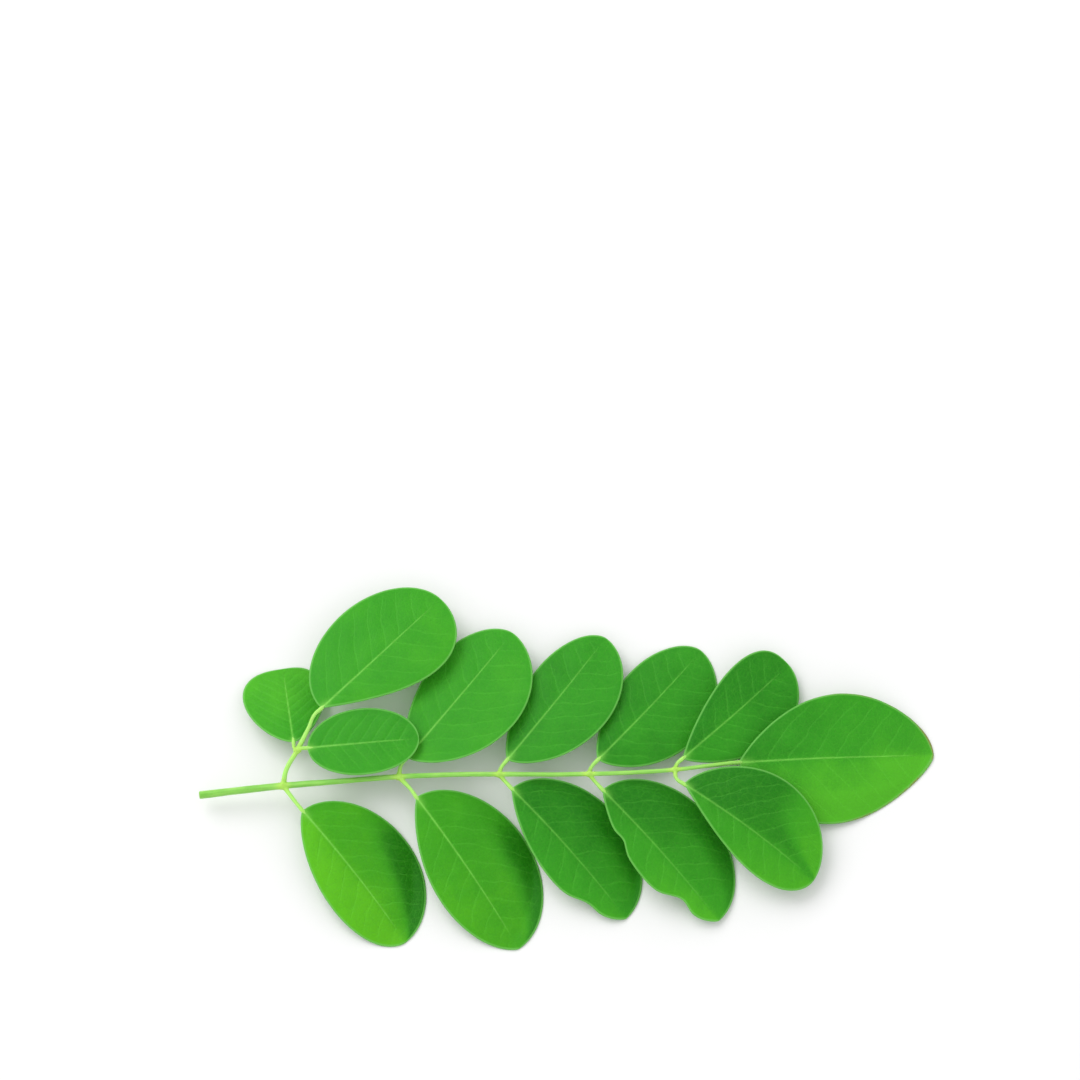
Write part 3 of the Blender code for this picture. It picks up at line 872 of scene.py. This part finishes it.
def makeGrowthTree(name, growth):
    tree, given = openTree(name, {
        "Skin": "", "Per square metre": 1.0, "Least": 0.0, "Length": 0.1, "Width": 0.1, "Lean": 0.0,
        "Sunk": 0.0, "Seed": 0,
    })
    spot = Wire.add(tree, "GeometryNodeInputNamedAttribute", {"data_type": "FLOAT_VECTOR"}, {"Name": "spot"})
    wanted = spot.part(0).maths("GREATER_THAN", given["Least"]) * (1.0 - spot.part(1))
    sockets = {"Mesh": given["Skin"], "Density": wanted * given["Per square metre"], "Seed": given["Seed"]}
    points = Wire.add(tree, "GeometryNodeDistributePointsOnFaces", {"distribute_method": "RANDOM"}, sockets)
    turned = Wire(tree, points.socket.node.outputs["Rotation"])
    if growth["shape"] == "ball":
        sockets = {"Segments": growth["sides"], "Rings": growth["rings"], "Radius": 0.5}
        shape = Wire.add(tree, "GeometryNodeMeshUVSphere", None, sockets)
        lift = 0.5
    else:
        sockets = {"Vertices": growth["sides"], "Radius Top": 0.0, "Radius Bottom": 0.5, "Depth": 1.0}
        shape = Wire.add(tree, "GeometryNodeMeshCone", None, sockets)
        lift = 0.0
    size = vector(tree, given["Width"] * mm, given["Width"] * mm, given["Length"] * mm)
    rise = vector(tree, 0.0, 0.0, (lift - given["Sunk"]) * given["Length"] * mm)
    sockets = {"Geometry": shape, "Scale": size, "Translation": rise}
    shape = Wire.add(tree, "GeometryNodeTransform", None, sockets)
    sockets = {2: growthFinish["smallest"], 3: growthFinish["largest"], "Seed": 1}
    vary = Wire.add(tree, "FunctionNodeRandomValue", {"data_type": "FLOAT"}, sockets, 1)
    scales = vector(tree, vary, vary, vary)
    sockets = {"Points": points, "Instance": shape, "Rotation": turned, "Scale": scales}
    copies = Wire.add(tree, "GeometryNodeInstanceOnPoints", None, sockets)
    lean = given["Lean"] * (math.pi / 180.0)
    low = vector(tree, lean * -1.0, lean * -1.0, 0.0)
    high = vector(tree, lean, lean, 2.0 * math.pi)
    sockets = {0: low, 1: high, "Seed": 2}
    turn = Wire.add(tree, "FunctionNodeRandomValue", {"data_type": "FLOAT_VECTOR"}, sockets)
    sockets = {"Instances": copies, "Rotation": turn, "Local Space": True}
    copies = Wire.add(tree, "GeometryNodeRotateInstances", None, sockets)
    closeTree(tree, copies, makeGrowthMaterial(name, growth["colour"], growthFinish))
    return tree


def growOnStem(name, growth):
    grown = grow(name, makeGrowthTree(name, growth), {
        "Per square metre": growth["perSquareMillimetre"] / mm ** 2, "Least": growth["least"],
        "Length": growth["length"], "Width": growth["width"], "Lean": growth["lean"], "Sunk": growth["sunk"],
        "Seed": growth["seed"],
    }, stemSkin.data.copy())
    if growth["shape"] == "ball":
        grown.data.shade_smooth()
    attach(grown, "root")
    print("  ", name, len(grown.data.polygons), "faces")


for name, growth in growths.items():
    growOnStem(name, growth)
print("glands and hairs ready")

# Floor, light and camera. The floor's size and the light's place and size are in metres.
stage = {
    "floorSize": 4.0,
    "floorColour": (0.90, 0.90, 0.90, 1.0),
    "floorRoughness": 0.7,
    "floorShine": 0.2,
    "worldColour": (1.0, 1.0, 1.0, 1.0),
    "worldStrength": 0.86,
    "lightPlace": (-0.55, 0.55, 0.85),
    "lightSize": 0.80,
    "lightPower": 6.0,
    "elevation": 72.0,
    "aim": (-3.8, 33.06, 0.0),
    "distance": 563.8,
    "lens": 135.0,
    "sensor": 36.0,
    "clipping": (0.01, 20.0),
}


def makeFloor(stage):
    half = stage["floorSize"] / 2.0
    mesh = bpy.data.meshes.new("floor")
    corners = [(-half, -half, 0.0), (half, -half, 0.0), (half, half, 0.0), (-half, half, 0.0)]
    mesh.from_pydata(corners, [], [(0, 1, 2, 3)])
    material, tree = newMaterial("paleFloor")
    sockets = {"Base Color": stage["floorColour"], "Roughness": stage["floorRoughness"]}
    sockets["Specular IOR Level"] = stage["floorShine"]
    show(tree, Wire.add(tree, "ShaderNodeBsdfPrincipled", None, sockets))
    mesh.materials.append(material)
    floor = newObject("floor", mesh)
    floor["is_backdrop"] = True


def makeLight(stage):
    # a soft square light that faces the sprig
    light = bpy.data.lights.new("keyLight", "AREA")
    light.shape = "SQUARE"
    light.size = stage["lightSize"]
    light.energy = stage["lightPower"]
    holder = newObject("keyLight", light)
    holder.location = stage["lightPlace"]
    holder.rotation_euler = (-Vector(stage["lightPlace"])).to_track_quat("-Z", "Y").to_euler()


def makeWorld(stage):
    world = bpy.data.worlds.new("studio")
    bpy.context.scene.world = world
    world.use_nodes = True
    background = world.node_tree.nodes["Background"]
    background.inputs["Color"].default_value = stage["worldColour"]
    background.inputs["Strength"].default_value = stage["worldStrength"]


def makeCamera(stage):
    # straight in front of the sprig, looking down on it through a long lens
    tilt = math.radians(stage["elevation"])
    back = Vector((0.0, -math.cos(tilt), math.sin(tilt)))
    lens = bpy.data.cameras.new("camera")
    lens.lens = stage["lens"]
    lens.sensor_width = stage["sensor"]
    lens.clip_start, lens.clip_end = stage["clipping"]
    camera = newObject("camera", lens)
    camera.location = (Vector(stage["aim"]) + back * stage["distance"]) * mm
    camera.rotation_euler = (-back).to_track_quat("-Z", "Y").to_euler()
    bpy.context.scene.camera = camera


makeFloor(stage)
makeWorld(stage)
makeLight(stage)
makeCamera(stage)
bpy.context.scene.view_settings.view_transform = "Standard"
print("stage ready")

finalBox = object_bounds()
for axis, cadLow, cadHigh, low, high in zip("xyz", *cadBox, *finalBox):
    numbers = tuple(value / mm for value in (cadLow, cadHigh, low, high))
    print("   %s: %.2f to %.2f mm in the frame, %.2f to %.2f here" % ((axis,) + numbers))
